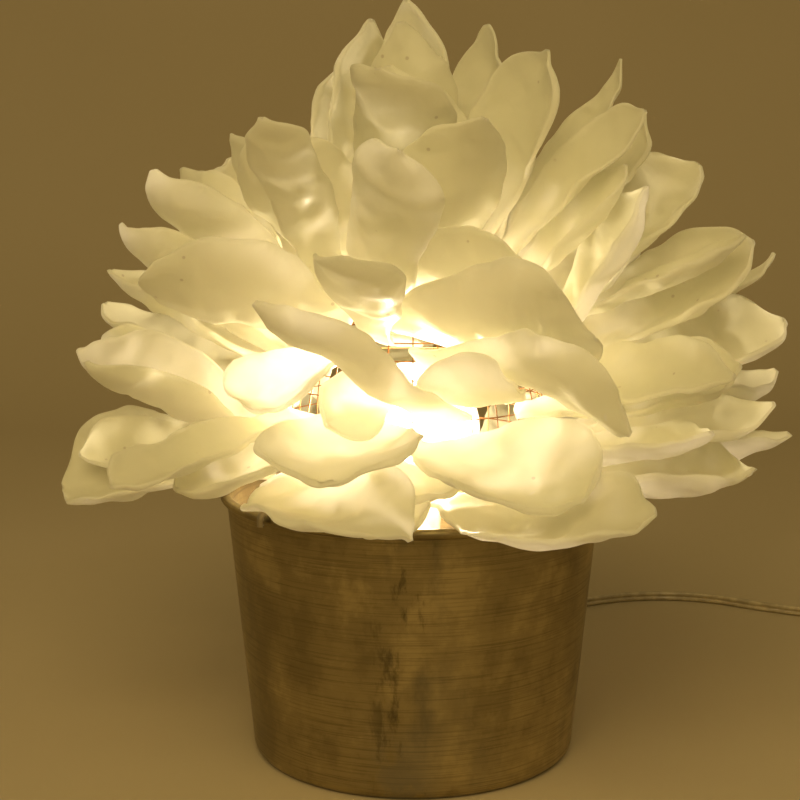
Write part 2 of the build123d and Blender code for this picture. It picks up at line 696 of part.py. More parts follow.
# The petals of the front half, in the order that they are laid, lowest first
FRONT_PETALS = [
    Petal("left", -82, -8, -84, -1, long=0.9, wide=1.2, roll=-26, cup=58, curl=-14, hook=10, blunt=True),
    Petal(
        "front", -58, -8, 6, -2, long=1.1, wide=0.95, roll=20, cup=45, curl=-10, hook=-70, bow=55,
        blunt=True,
    ),
    Petal("front", 12, -9, 24, -6, long=1.1, roll=22, cup=55, curl=-2, bow=55, blunt=True),
    Petal("right", 48, -8, 74, -5, long=0.94, wide=1.1, roll=8, cup=60, hook=45, bow=10, blunt=True),
    Petal("front", -16, 15, -16, -20.5, long=0.62, wide=1.25, cup=45, curl=10, hook=20, blunt=True),
    Petal("front", -38, 9, -54, -22, long=0.68, wide=1.05, roll=-10, blunt=True),
    Petal("left", -92, 6, -94, 10, long=0.88, wide=1.1, roll=35, blunt=True),
    Petal("left", -66, 8, -90, 11, long=0.9, wide=1.04, roll=40),
    Petal("front", -2, 6, 50, -8, long=0.88, wide=1.12, roll=20, curl=4, hook=10, blunt=True),
    Petal("front", 32, 2, 62, -1, long=0.88, wide=0.86, blunt=True),
    Petal("right", 60, 2, 80, 3, long=0.96, wide=0.79, roll=20),
    Petal("right", 82, -8, 90, -2, long=1.04),
    Petal("right", 98, 2, 98, 2, long=1.08),
    Petal("heart", -30, 44, -73, 7, long=0.86, wide=1.07, roll=45, curl=10, hook=15),
    Petal("heart", -19, 43, 60, -5, long=0.95, wide=1.12, roll=-42, curl=8, hook=0, blunt=True),
    Petal("heart", 4, 30, 48, 5, long=0.95, wide=0.73, roll=-50, curl=-8, hook=0, bow=40, blunt=True),
    Petal("heart", 15, 13, -50, 27, long=1.02, wide=0.46, roll=30, bow=-15),
    Petal("heart", -36, 36, -51, -30, long=0.5, wide=1.05, cup=34, curl=0, hook=10, blunt=True),
    Petal("heart", -6, 29, -46, -28, long=0.44, wide=0.5, roll=-50, cup=40, curl=0, hook=10, blunt=True),
    Petal("heart", 1, 20, 65, 4, long=0.44, wide=0.95, roll=-30, cup=40, curl=0, hook=10, blunt=True),
    Petal("front", 9, -2, -21, -6, long=0.38, wide=0.65, roll=-10, cup=40, curl=0, hook=10, blunt=True),
    Petal("right", 46, 14, 78, 5, long=0.92, wide=0.89, roll=25, blunt=True),
    Petal("front", -6, -9, -8, -10, long=0.42, wide=0.64, curl=0, hook=0, blunt=True),
    Petal("left", -118, 8, -106, 14, long=1.02),
    Petal("left", -108, 22, -102, 18, long=0.94),
    Petal("left", -85, 28, -88, 29, long=0.92, roll=25, hook=40),
    Petal("right", 80, 14, 86, 12, long=1.04, roll=30, blunt=True),
    Petal("right", 102, 24, 97, 14, long=1.17, wide=0.5),
    Petal("right", 80, 28, 86, 21, long=1.02, roll=35, blunt=True),
    Petal("right", 94, 40, 94, 36.5, long=1.02, roll=35, hook=10, blunt=True),
    Petal("left", -70, 42, -82, 35.5, long=0.94, roll=35, hook=45),
    Petal("left", -98, 48, -96, 34, long=0.87, roll=35, hook=40),
    Petal("heart", -24, 57, 58, 0, long=0.72, wide=0.98, roll=-42, curl=8, hook=0, blunt=True),
    Petal("right", 60, 28, 64, 45, long=0.9, wide=0.96, roll=25, bow=8, blunt=True),
    Petal("right", 57, 50, 74, 38, long=0.82, wide=0.79, roll=25, blunt=True),
    Petal("right", 92, 58, 94, 41, long=1.02, roll=30, blunt=True),
    Petal("left", -48, 62, -46, 44, long=0.83, wide=1.04, roll=25, hook=40),
    Petal("left", -92, 64, -90, 42, long=0.83, roll=30, hook=40),
    Petal("crown", 88, 62, 92, 50, long=1.1, wide=0.54, roll=25),
    Petal("crown", 16, 72, -24, 64, long=0.88, wide=1.05, hook=20, bow=-10),
    Petal("crown", 62, 74, 78, 58.5, wide=0.82, roll=50, blunt=True),
    Petal("crown", -100, 72, -140, 80, long=1.04, wide=0.9),
    Petal("crown", 130, 76, 126, 66.5, long=1.04, wide=0.95),
    Petal("crown", 0, 90, 150, 82, long=1.1, wide=0.76),
]

# A second layer in the room that is left between the others, laid last
INNER_PETALS = [
    Petal("inner_right", -14, 71, -5, 58, roll=-25, cup=58, curl=-8, hook=0, blunt=True),
    Petal("inner_left", -17, 39, -12, 24, long=0.7, wide=0.7, roll=-10, cup=58, curl=12, blunt=True),
    Petal("inner_left", -41, 48, -26, 52, wide=0.5, roll=25, cup=40, curl=-8, hook=20, blunt=True),
    Petal("inner_right", 11, 61, 8, 44, long=0.9, roll=10, cup=50, curl=12, hook=0, bow=25),
    Petal(
        "inner_left", -14, 47, -13, 50, long=0.9, wide=0.8, roll=-25, cup=50, curl=12, hook=0, bow=25,
        blunt=True,
    ),
    Petal("inner_right", 67, 26, 46, -1, wide=0.6, roll=40, cup=40, curl=12, hook=0),
    Petal(
        "inner_right", 60, 57, 84, 57, wide=0.5, roll=40, cup=58, curl=-8, hook=20, bow=-25, blunt=True,
    ),
    Petal("inner_left", -76, 0, -56, 24, long=0.9, wide=0.5, roll=25, cup=58, curl=0, hook=40, blunt=True),
    Petal("inner_left", -48, 13, -43, -11, wide=0.5, roll=-10, cup=58, curl=0, hook=20, blunt=True),
    Petal("inner_right", 7, 80, -18, 79, wide=0.8, roll=10, cup=40, curl=0, hook=20),
    Petal("inner_right", 82, 34, 60, 23, wide=0.6, roll=10, cup=40, curl=0, hook=40, bow=25, blunt=True),
    Petal(
        "inner_left", -84, -3, -95, 2, long=0.8, wide=0.5, roll=-40, cup=58, curl=12, hook=20, bow=25,
        blunt=True,
    ),
]

# Rows of the back half: how far up the dome, where the row starts, its step and its count
BACK_ROWS = [
    ("back_low", -8, 118, 30, 5),
    ("back_low", 8, 128, 30, 4),
    ("back_low", 26, 128, 28, 5),
    ("back_high", 44, 124, 36, 4),
    ("back_high", 62, 130, 43, 3),
]
BACK_LEAN = 0.85           # a back petal's lift as a share of its rise
BACK_ROLLS = (-8, 8, 0)    # roll and length of the back petals, taken in turn
BACK_LENGTHS = (0.92, 1.04, 0.98)


# How the petals are laid: each is tried at lifts near its own, and smaller if none is free
LIFT_MOST = 45.0
LIFT_STEP = 1.5
TRIMS = (1.0, 0.85, 0.7, 0.55, 0.4, 0.3)
SAMPLE_ROOM = 1.15         # allows for the spacing of the points that stand for a petal


def back_petals():
    petals = []
    for group, rise, first, step, count in BACK_ROWS:
        for i in range(int(count)):
            turn = first + step * i
            petals.append(
                Petal(
                    group, turn, rise, turn, rise * BACK_LEAN,
                    long=BACK_LENGTHS[i % 3], roll=BACK_ROLLS[i % 3], blunt=i % 2 == 1,
                )
            )
    return petals


def frame_points(spacing=2.0):
    """Points along the ring and the arms, which petals have to clear."""
    count = int(2 * pi * RING_RADIUS / spacing)
    places = [heading(360 * i / count) * RING_RADIUS + Vector(0, 0, RING_HEIGHT) for i in range(count)]
    for turn in arm_turns():
        corners = arm_points(turn)
        for start, end in zip(corners, corners[1:]):
            steps = int((end - start).length / spacing) + 1
            places += [start + (end - start) * (i / steps) for i in range(steps + 1)]
    return np.array([tuple(p) for p in places])


def find_room(petal, taken):
    """Lift nearest the petal's own that clears the rim and what is laid already, and its root."""
    room = PETAL_THICKNESS + PETAL_CLEARANCE
    sample = SAMPLE_ROOM * room
    rim_top = POT_HEIGHT + SEAT_GAP + PETAL_THICKNESS
    rim_reach = POT_RIM_RADIUS + SEAT_GAP + PETAL_THICKNESS
    for n in range(2 * int(LIFT_MOST / LIFT_STEP) + 1):
        lift = petal.lift + LIFT_STEP * ((n + 1) // 2) * (1 if n % 2 else -1)
        middle, faces = petal.surface(lift)
        root = petal.root(faces)
        places = middle + root
        over_pot = np.hypot(places[:, 0], places[:, 1]) < rim_reach
        if (places[over_pot, 2] < rim_top).any():
            continue
        if taken.query(places, distance_upper_bound=2 * sample)[0].min() > sample:
            return lift, root
    return None


def lay_petals(petals):
    """Lay each petal clear of the frame and of those before it, trimmed smaller if it has to be."""
    points = frame_points()
    laid = []
    for petal in petals:
        taken = cKDTree(points)
        for trim in TRIMS:
            fitted = replace(petal, long=trim * petal.long, wide=trim * petal.wide)
            found = find_room(fitted, taken)
            if found:
                break
        else:
            raise ValueError(f"no room for the petal at turn {petal.turn}, rise {petal.rise}")
        lift, root = found
        if lift != petal.lift or trim < 1:
            print("petal", petal.group, petal.turn, petal.rise, "laid at", round(lift, 1), "trim", trim)
        laid.append((petal.group, fitted.solid(lift, root)))
        fine, _ = fitted.surface(lift, 54, 25)
        points = np.vstack([points, fine + root])
    return laid


# Mains lead: its route over the floor, chosen point by point, then a switch and a coil


def lead_points():
    start, _, out = relief_ends()
    return [
        start,
        start + out * 24,
        Vector(44, 152, 5.0),
        Vector(66, 186, CORD_RADIUS),
        Vector(102, 216, CORD_RADIUS),
        Vector(140, 229, CORD_RADIUS),
        Vector(177, 224, CORD_RADIUS),
        Vector(207, 203, CORD_RADIUS),
        Vector(242, 187, CORD_RADIUS),
        Vector(275, 173, 3.4),
        Vector(SWITCH_X, SWITCH_ENTRY_Y + 26, COIL_HEIGHT),
        Vector(SWITCH_X, SWITCH_ENTRY_Y, COIL_HEIGHT),
    ]


def report_tube(name, solid, path):
    share = solid.volume / (pi * CORD_RADIUS**2 * path.length)
    print(name, "length", round(path.length, 1), "volume over section times length", round(share, 4))


def cord_lead():
    points = lead_points()
    radii = corner_radii(points)
    path = FilletPolyline(*points, radius=radii)
    body = tube(path, CORD_RADIUS)
    print("cord lead radii", [round(r, 1) for r in radii])
    report_tube("cord lead", body, path)
    return body


def half_turn(start, radius, side, way):
    """Level half circle from one side of the coil to the other. side is 1 from +X, way is its Y."""
    centre = start - Vector(side * radius, 0, 0)
    return ThreePointArc(start, centre + Vector(0, way * radius, 0), centre - Vector(side * radius, 0, 0))


def climbing_half_turn(start, radius, side, way):
    """Half turn that climbs a layer: two quarter circles, each in a slanted plane."""
    centre = start + Vector(-side * radius, 0, COIL_RISE / 2)
    slant = hypot(radius, COIL_RISE / 2)
    down = (start - centre).normalized()
    crest = centre + Vector(0, way * slant, 0)
    end = centre - (start - centre) * 1.0
    half = cos(pi / 4) * slant
    first = ThreePointArc(start, centre + down * half + Vector(0, way * half, 0), crest)
    second = ThreePointArc(crest, centre - down * half + Vector(0, way * half, 0), end)
    return [first, second]


def coil_path():
    """Straight from the switch, spiralling in, up a layer and out again, then to the plug."""
    step = COIL_PITCH / 2
    start = Vector(SWITCH_X, COIL_START_Y, COIL_HEIGHT)
    edges = [Line((SWITCH_X, SWITCH_EXIT_Y, COIL_HEIGHT), start)]
    lower = [COIL_INNER_TURN + step * i for i in reversed(range(COIL_HALF_TURNS))]
    upper = [COIL_INNER_TURN + step * i for i in range(COIL_HALF_TURNS - 1)]
    side, way = 1, -1
    for radius in lower:
        edges.append(half_turn(start, radius, side, way))
        start, side, way = edges[-1] @ 1, -side, -way
    edges += climbing_half_turn(start, COIL_INNER_TURN - step, side, way)
    start, side, way = edges[-1] @ 1, -side, -way
    for radius in upper:
        edges.append(half_turn(start, radius, side, way))
        start, side, way = edges[-1] @ 1, -side, -way
    edges.append(Line(start, start - Vector(0, COIL_TAIL, 0)))
    return Wire(edges)


def least_self_gap(path, spacing=1.5):
    """Least gap between two stretches of the coil that aren't next to each other."""
    count = int(path.length / spacing)
    points = np.array([tuple(path @ (i / count)) for i in range(count + 1)])
    apart = int(4 * CORD_WIDTH / spacing)
    least = min(
        np.linalg.norm(points[i + apart:] - points[i], axis=1).min()
        for i in range(count - apart)
    )
    return least - CORD_WIDTH


def cord_coil():
    path = coil_path()
    body = tube(path, CORD_RADIUS)
    print("coil least gap to itself", round(least_self_gap(path), 2))
    report_tube("cord coil", body, path)
    return body


def coil_tie():
    """Flat strap round the turns, on the coil's back side."""
    step = COIL_PITCH / 2
    middle = SWITCH_X - COIL_INNER_TURN - (COIL_HALF_TURNS - 1) * step
    inner = COIL_START_Y + COIL_INNER_TURN - CORD_RADIUS - TIE_ROOM - SEAT_GAP
    outer = COIL_START_Y + COIL_INNER_TURN + (COIL_HALF_TURNS - 2) * step + CORD_RADIUS + SEAT_GAP
    top = COIL_TOP_HEIGHT + CORD_RADIUS + SEAT_GAP
    low = (Align.CENTER, Align.MIN, Align.MIN)
    strap = Pos(middle, inner - TIE_STRAP, 0) * Box(
        TIE_WIDTH, outer - inner + 2 * TIE_STRAP, top + TIE_STRAP, align=low
    )
    return strap - Pos(middle, inner, TIE_STRAP) * Box(
        TIE_WIDTH, outer - inner, top - TIE_STRAP, align=low
    )


# Switch on the lead


def switch_block(bottom, top):
    flat = RectangleRounded(SWITCH_WIDTH, SWITCH_LENGTH, SWITCH_CORNER)
    return Pos(SWITCH_X, SWITCH_MID_Y, bottom) * extrude(flat, top - bottom)


def wheel_place(height):
    return Pos(SWITCH_X + WHEEL_OFFSET, SWITCH_MID_Y, height)


def switch_screw_places():
    return [
        Pos(SWITCH_X, SWITCH_MID_Y + side * SWITCH_SCREW_SPACING / 2, SWITCH_TOP) for side in (-1, 1)
    ]


def switch_screw(place, room=0.0):
    """Screw from the top of the switch. With room, the hole that it goes in."""
    top = (Align.CENTER, Align.CENTER, Align.MAX)
    head = Cylinder(SCREW_HEAD_RADIUS + room, SCREW_HEAD_DEPTH + room, align=top)
    shank = Cylinder(SCREW_SHANK_RADIUS + room, SCREW_LENGTH + room, align=top)
    return place * (head + shank)


def switch_lower():
    """Lower shell, up to the lead's middle, with the pin that the wheel turns on."""
    body = switch_block(0, COIL_HEIGHT - FACE_GAP)
    body = chamfer(body.edges().group_by(Axis.Z)[0], SWITCH_EDGE / 2)
    pin_height = TURN_GAP + WHEEL_THICKNESS
    base = (Align.CENTER, Align.CENTER, Align.MIN)
    body += wheel_place(COIL_HEIGHT - FACE_GAP) * Cylinder(WHEEL_PIN_RADIUS, pin_height, align=base)
    for place in switch_screw_places():
        body -= switch_screw(place, THREAD_GAP)
    return body


def switch_upper():
    """Upper shell with the wheel's pocket open at one side."""
    body = switch_block(COIL_HEIGHT, SWITCH_TOP)
    body = fillet(body.edges().group_by(Axis.Z)[-1], SWITCH_EDGE)
    base = (Align.CENTER, Align.CENTER, Align.MIN)
    body -= wheel_place(COIL_HEIGHT) * Cylinder(
        WHEEL_RADIUS + TURN_GAP, WHEEL_THICKNESS + 2 * TURN_GAP, align=base
    )
    for place in switch_screw_places():
        body -= switch_screw(place, THREAD_GAP)
    return body


def switch_wheel():
    base = (Align.CENTER, Align.CENTER, Align.MIN)
    wheel = Cylinder(WHEEL_RADIUS, WHEEL_THICKNESS, align=base)
    grip = Cylinder(WHEEL_GRIP_RADIUS, WHEEL_THICKNESS, align=base)
    wheel -= PolarLocations(WHEEL_RADIUS, WHEEL_GRIPS) * grip
    wheel -= Cylinder(WHEEL_PIN_RADIUS + TURN_GAP, WHEEL_THICKNESS, align=base)
    return wheel_place(COIL_HEIGHT + TURN_GAP) * wheel


def switch_screws():
    return [switch_screw(place) for place in switch_screw_places()]


# Plug


def plug_face(distance):
    """A plane across the plug's length, at a distance from the lead's end."""
    place = (SWITCH_X, PLUG_AXIS_Y - distance, COIL_TOP_HEIGHT)
    return Plane(origin=place, x_dir=(1, 0, 0), z_dir=(0, -1, 0))


def blade_slots(room=0.0):
    """The two flat blades or, with room, the slots that they sit in."""
    length = BLADE_ROOT + BLADE_LENGTH
    face = plug_face(PLUG_TAIL + PLUG_LENGTH - BLADE_ROOT - room)
    base = (Align.CENTER, Align.CENTER, Align.MIN)
    blade = Box(BLADE_THICKNESS + 2 * room, BLADE_WIDTH + 2 * room, length + room, align=base)
    return [face * (Pos(side * BLADE_SPACING / 2, 0, 0) * blade) for side in (-1, 1)]


def plug_tail():
    base = (Align.CENTER, Align.CENTER, Align.MIN)
    return plug_face(0) * Cone(PLUG_TAIL_RADIUS, PLUG_TAIL_BASE_RADIUS, PLUG_TAIL, align=base)


def plug_body():
    """Moulded plug, lying on the floor with the lead's end at its middle height."""
    flat = RectangleRounded(PLUG_WIDTH, 2 * COIL_TOP_HEIGHT, PLUG_EDGE)
    body = plug_face(PLUG_TAIL) * extrude(flat, PLUG_LENGTH)
    for slot in blade_slots(THREAD_GAP):
        body -= slot
    return body


def write(name, solids):
    solids = solids if isinstance(solids, list) else [solids]
    shapes = [solid for shape in solids for solid in shape.solids()]
    export_step(shapes[0] if len(shapes) == 1 else Compound(children=shapes), f"parts/{name}.step")


def main():
    os.makedirs("parts", exist_ok=True)
    for make in (
        pot, cord_relief, ballast, lower_nut, upper_nut, cap_nut, lamp_pipe,
        holder_cap, holder_shell, holder_liner, holder_core, terminal_screws, centre_contact,
        screw_shell, inner_lead, bulb_globe, bulb_cap, bulb_insulator, bulb_tip, bulb_stem,
        bulb_supports, bulb_filament, rim_arms, base_ring, mesh_dome, cord_lead, cord_coil,
        coil_tie, switch_lower, switch_upper, switch_wheel, switch_screws, plug_tail, plug_body,
    ):
        write(make.__name__, make())
    write("plug_blades", blade_slots())
    laid = lay_petals(FRONT_PETALS + back_petals() + INNER_PETALS)
    for group in sorted({group for group, _ in laid}):
        write(f"petals_{group}", [solid for name, solid in laid if name == group])
    print(len(laid), "petals")


if __name__ == "__main__":
    main()
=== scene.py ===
from math import cos, pi, radians, sin

import bpy
from bpy.props import FloatProperty, FloatVectorProperty, IntProperty, PointerProperty
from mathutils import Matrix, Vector


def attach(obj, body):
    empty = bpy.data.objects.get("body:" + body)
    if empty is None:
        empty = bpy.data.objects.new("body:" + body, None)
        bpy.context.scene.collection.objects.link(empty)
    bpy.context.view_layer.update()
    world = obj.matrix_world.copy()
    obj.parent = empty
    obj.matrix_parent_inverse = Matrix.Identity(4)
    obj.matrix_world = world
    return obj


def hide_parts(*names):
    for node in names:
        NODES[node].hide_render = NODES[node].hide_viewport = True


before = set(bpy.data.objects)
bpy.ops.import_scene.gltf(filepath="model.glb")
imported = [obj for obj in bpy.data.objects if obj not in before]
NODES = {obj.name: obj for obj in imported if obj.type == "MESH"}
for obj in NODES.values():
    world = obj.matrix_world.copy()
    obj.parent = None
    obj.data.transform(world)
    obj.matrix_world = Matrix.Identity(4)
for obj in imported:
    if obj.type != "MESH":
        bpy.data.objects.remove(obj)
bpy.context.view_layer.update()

bl_info = {
    "name": "Flower Lamp",
    "version": (1, 0, 0),
    "blender": (4, 5, 0),
    "location": "View3D > Sidebar > Flower Lamp",
    "description": "Finishes, wire mesh, cord and stage of a petal lamp in a metal pot",
    "category": "Object",
}

# The cord's route from the strain relief to the switch, in metres
LEAD_ROUTE = [
    (0.02705, 0.10094, 0.01308),
    (0.03323, 0.12401, 0.01078),
    (0.044, 0.152, 0.005),
    (0.066, 0.186, 0.0028),
    (0.102, 0.216, 0.0028),
    (0.140, 0.229, 0.0028),
    (0.177, 0.224, 0.0028),
    (0.207, 0.203, 0.0028),
    (0.242, 0.187, 0.0028),
    (0.275, 0.173, 0.0034),
    (0.290, 0.150, 0.0041),
    (0.290, 0.124, 0.0041),
]

# The put-away coil, from the switch to the plug
COIL_SWITCH_END = (0.290, 0.062)
COIL_START_Y = 0.024
COIL_PLUG_END_Y = 0.004
COIL_LOW, COIL_HIGH = 0.0041, 0.0103
COIL_INNER_TURN = 0.027
COIL_STEP = 0.0032         # from one half turn's radius to the next
COIL_HALF_TURNS = 6        # in the lower layer
COIL_POINTS = 12           # to a half turn

# The mesh dome, an egg open at the bottom
DOME_CENTRE = 0.1419
DOME_BOTTOM = 0.1279
DOME_RADIUS = 0.0614
DOME_CROWN = 0.0774

# Petals are wavy only away from the dome and the pot's rim
WARP_MIDDLE = (0.0, 0.0, 0.130)
WARP_NONE, WARP_FULL = 0.093, 0.140
WARP_GRAIN = 0.034
SWELL_GRAIN = 0.022
MERGE_DISTANCE = 0.00001

# Where the pot is stained: a dark run down its front, most at the foot
STAIN_X = -0.004
STAIN_NEAR, STAIN_FAR = 0.003, 0.022
STAIN_LOW, STAIN_HIGH = 0.010, 0.048

# Section of the cord
SECTION_STEPS = 12         # round each conductor
SECTION_WAIST = 40.0       # degrees each side of the web that the round leaves out

# The view
CAMERA_PLACE = (0.0, -0.707, 0.272)
CAMERA_DROP = 9.1          # degrees below the level
CAMERA_LENS = 72.0
CAMERA_SENSOR = 36.0
CAMERA_SHIFT = -13 / 800

# The lights, the floor and the backdrop behind it
BULB_CENTRE = (0.0, 0.0, 0.148)
BULB_LIGHT_RADIUS = 0.006
KEY_PLACE = (-0.15, -1.2, 1.15)
KEY_AIM = (0.0, 0.0, 0.15)
KEY_SIZE = 1.0
FLOOR_SIZE = 6.0
FLOOR_MIDDLE = (0.0, -1.6, 0.0)
BACKDROP_HEIGHT = 2.5
BACKDROP_BEND = 0.6


class LampSizes(bpy.types.PropertyGroup):
    """Sizes of the pieces that are modelled here."""

    cord_width: FloatProperty(
        name="Cord width", description="Across both conductors", default=0.0056, unit="LENGTH"
    )
    cord_thickness: FloatProperty(
        name="Cord thickness", description="Across one conductor", default=0.0029, unit="LENGTH"
    )
    mesh_wire: FloatProperty(
        name="Mesh wire", description="Diameter of the dome's wire", default=0.0006, unit="LENGTH"
    )
    mesh_columns: IntProperty(
        name="Mesh columns", description="Upright wires round the dome", default=30, min=8
    )
    mesh_rows: IntProperty(
        name="Mesh rows", description="Level wires from the dome's foot to its top", default=14, min=4
    )
    petal_swell: FloatProperty(
        name="Petal swell", description="How far a petal's thickness wanders", default=0.0012,
        unit="LENGTH",
    )
    petal_warp: FloatProperty(
        name="Petal warp", description="How far the petals' outer parts wander", default=0.014,
        unit="LENGTH",
    )


class LampColours(bpy.types.PropertyGroup):
    """Colours of the finishes."""

    petal: FloatVectorProperty(
        name="Petal", description="Frosted resin", subtype="COLOR", default=(0.91, 0.90, 0.65)
    )
    pot: FloatVectorProperty(
        name="Pot", description="Tarnished spun metal", subtype="COLOR", default=(0.41, 0.33, 0.165)
    )
    copper: FloatVectorProperty(
        name="Copper", description="Mesh wire", subtype="COLOR", default=(0.40, 0.19, 0.07)
    )
    cord: FloatVectorProperty(
        name="Cord", description="Clear gold cord", subtype="COLOR", default=(0.42, 0.34, 0.18)
    )
    floor: FloatVectorProperty(
        name="Floor", description="Plain pale floor", subtype="COLOR", default=(0.44, 0.36, 0.205)
    )


class LampLights(bpy.types.PropertyGroup):
    """Powers and colours of the lights."""

    bulb_power: FloatProperty(name="Bulb", description="Light of the bulb", default=1.7, unit="POWER")
    bulb_colour: FloatVectorProperty(
        name="Bulb colour", description="Warm bulb", subtype="COLOR", default=(1.0, 0.82, 0.61)
    )
    key_power: FloatProperty(
        name="Key", description="Soft light above and behind the camera", default=13.0, unit="POWER"
    )
    room_colour: FloatVectorProperty(
        name="Room colour", description="Warm room light", subtype="COLOR", default=(1.0, 0.76, 0.38)
    )
    room_strength: FloatProperty(name="Room", description="Light from all round", default=0.30)


# Shader nodes


class Shade:
    """A socket of a material. Arithmetic on it adds the Math nodes that work it out."""

    def __init__(self, tree, socket):
        self.tree = tree
        self.socket = socket

    def math(self, operation, *values):
        node = self.tree.nodes.new("ShaderNodeMath")
        node.operation = operation
        for place, value in zip(node.inputs, values):
            feed(self.tree, place, value)
        return Shade(self.tree, node.outputs[0])

    def __add__(self, other):
        return self.math("ADD", self, other)

    def __sub__(self, other):
        return self.math("SUBTRACT", self, other)

    def __rsub__(self, other):
        return self.math("SUBTRACT", other, self)

    def __mul__(self, other):
        return self.math("MULTIPLY", self, other)

    __radd__ = __add__
    __rmul__ = __mul__

    def between(self, low, high):
        """0 below low, 1 above high, and even between."""
        node = self.tree.nodes.new("ShaderNodeMapRange")
        node.interpolation_type = "SMOOTHSTEP"
        for place, value in zip(node.inputs, (self, low, high, 0.0, 1.0)):
            feed(self.tree, place, value)
        return Shade(self.tree, node.outputs[0])


def feed(tree, place, value):
    """Link a shade to a socket, or set a plain value on it."""
    if isinstance(value, Shade):
        tree.links.new(value.socket, place)
    elif isinstance(value, (tuple, list)) and len(value) == 3 and place.type == "RGBA":
        place.default_value = (*value, 1.0)
    else:
        place.default_value = value


class Finish:
    """A material on the plain shader, and the patterns that feed it."""

    def __init__(self, name, sockets):
        self.material = bpy.data.materials.new(name)
        self.material.use_nodes = True
        self.tree = self.material.node_tree
        self.shader = self.tree.nodes["Principled BSDF"]
        self.set(sockets)

    def set(self, sockets):
        for name, value in sockets.items():
            feed(self.tree, self.shader.inputs[name], value)

    def node(self, kind, settings, inputs, output=0):
        """Add a node: its settings first, then what its sockets hold."""
        node = self.tree.nodes.new(kind)
        for name, value in settings.items():
            setattr(node, name, value)
        for name, value in inputs.items():
            feed(self.tree, node.inputs[name], value)
        return Shade(self.tree, node.outputs[output])

    def place(self, scale=(1, 1, 1)):
        """Object coordinates, scaled."""
        raw = self.node("ShaderNodeTexCoord", {}, {}, "Object")
        return self.node("ShaderNodeMapping", {}, {"Vector": raw, "Scale": scale})

    def noise(self, scale, detail=3.0, stretch=(1, 1, 1), roughness=0.55):
        inputs = {
            "Vector": self.place(stretch), "Scale": scale, "Detail": detail, "Roughness": roughness
        }
        return self.node("ShaderNodeTexNoise", {}, inputs)

    def specks(self, scale):
        """Distance from scattered points, small at each point."""
        inputs = {"Vector": self.place(), "Scale": scale}
        return self.node("ShaderNodeTexVoronoi", {"feature": "F1"}, inputs, "Distance")

    def blend(self, mask, under, over):
        """One colour over another."""
        node = self.tree.nodes.new("ShaderNodeMix")
        node.data_type = "RGBA"
        feed(self.tree, node.inputs["Factor"], mask)
        feed(self.tree, node.inputs[6], under)
        feed(self.tree, node.inputs[7], over)
        return Shade(self.tree, node.outputs[2])

    def bump(self, height, depth, strength=1.0):
        inputs = {"Height": height, "Distance": depth, "Strength": strength}
        self.set({"Normal": self.node("ShaderNodeBump", {}, inputs)})

    def see_through(self, share, colour):
        """Let light scatter through the surface: share is how much of it goes through."""
        through = self.tree.nodes.new("ShaderNodeBsdfTranslucent")
        feed(self.tree, through.inputs["Color"], colour)
        mix = self.tree.nodes.new("ShaderNodeMixShader")
        feed(self.tree, mix.inputs[0], share)
        self.tree.links.new(self.shader.outputs[0], mix.inputs[1])
        self.tree.links.new(through.outputs[0], mix.inputs[2])
        self.tree.links.new(mix.outputs[0], self.tree.nodes["Material Output"].inputs["Surface"])


def tint(colour, share):
    """A colour made darker or lighter by a share."""
    return tuple(min(1.0, channel * share) for channel in colour)


def worn(name, colour, roughness, metallic=0.0, grain=400.0, depth=0.00004, coat=0.0):
    """An even finish with a fine grain, slight mottling and uneven gloss."""
    finish = Finish(name, {"Metallic": metallic, "Coat Weight": coat, "Coat Roughness": 0.15})
    mottle = finish.noise(60.0)
    fine = finish.noise(grain)
    finish.set({
        "Base Color": finish.blend(mottle, tint(colour, 0.8), tint(colour, 1.15)),
        "Roughness": roughness + (mottle - 0.5) * 0.2,
    })
    finish.bump(fine, depth)
    return finish.material


def petal_finish(colours):
    """Frosted resin: cloudy, faintly rippled, bright at its edges, with a few flecks cast into it."""
    colour = tuple(colours.petal)
    finish = Finish("frosted petal", {"Specular IOR Level": 0.4, "IOR": 1.46})
    cloud = finish.noise(26.0, 4.0)
    edge = finish.node("ShaderNodeNewGeometry", {}, {}, "Pointiness").between(0.53, 0.60)
    fleck = 1 - finish.specks(90.0).between(0.05, 0.09)
    sparse = finish.noise(18.0, 1.0).between(0.50, 0.54)
    body = finish.blend(cloud.between(0.3, 0.7), tint(colour, 0.94), tint(colour, 1.03))
    body = finish.blend(fleck * sparse * 0.7, body, (0.30, 0.20, 0.08))
    finish.set({"Base Color": body, "Roughness": 0.34 + cloud * 0.2})
    ripple = finish.noise(70.0, 2.0)
    grain = finish.noise(900.0, 2.0)
    finish.bump(ripple + grain * 0.12, 0.0006, 0.5)
    finish.see_through(0.50 + cloud * 0.14 + edge * 0.25, (0.95, 0.94, 0.92))
    return finish.material


